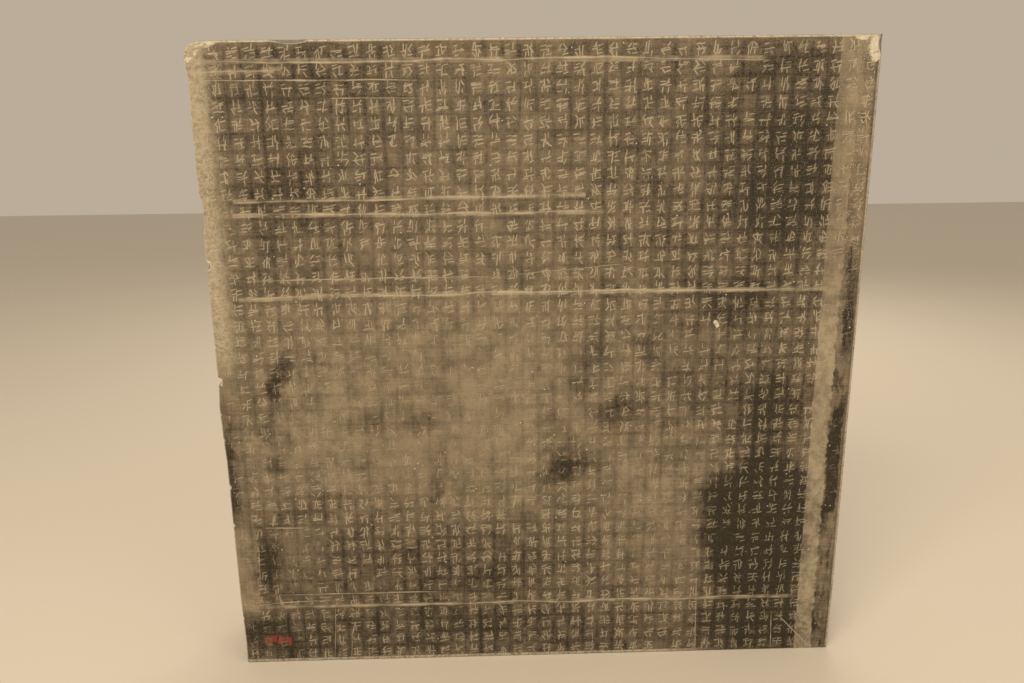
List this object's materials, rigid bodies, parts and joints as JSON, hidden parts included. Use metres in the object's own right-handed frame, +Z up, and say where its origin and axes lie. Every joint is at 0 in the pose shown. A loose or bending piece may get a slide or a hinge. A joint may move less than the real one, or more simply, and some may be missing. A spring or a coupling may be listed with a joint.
{
  "type": "inscribed stone epitaph slab",
  "caption": "Square slab of dark limestone with a fine gridded inscription on one polished face; stands on its lower edge.",
  "frame": {"origin": "bottom centre of the bounding box, on the underside", "axes": "+Z up, the inscribed face looks along -Y, +X to the right of someone who reads it"},
  "size_m": [0.9, 0.16, 0.9],
  "materials": {
    "dark_limestone": "rubbed limestone with remains of black rubbing ink, dust in the cut strokes and a dull sheen"
  },
  "bodies": {
    "root": {"epitaph_slab": "dark_limestone"}
  },
  "joints": []
}
